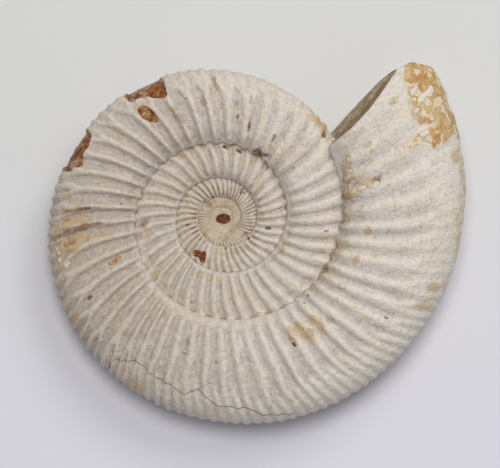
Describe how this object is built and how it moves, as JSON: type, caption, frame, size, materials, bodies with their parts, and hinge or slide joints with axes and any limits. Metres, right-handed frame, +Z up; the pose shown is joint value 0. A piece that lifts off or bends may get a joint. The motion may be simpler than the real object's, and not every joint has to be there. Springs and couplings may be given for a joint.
{
  "type": "ammonite fossil",
  "caption": "Flat-coiled ammonite fossil with forked ribs and an open umbilicus on both sides, broken off at its mouth, lying on its lower side.",
  "frame": {"origin": "centre of the bounding box's bottom, on the surface that the fossil lies on", "axes": "+Z up from that surface, close to the axis of coiling; +X along the longest extent, towards the side with the broken mouth; +Y towards the mouth's tip"},
  "size_m": [0.0938, 0.081, 0.0253],
  "materials": {
    "chalky_shell": "matt, chalky, with ochre stains"
  },
  "bodies": {
    "root": {"ammonite": "chalky_shell"}
  },
  "joints": []
}
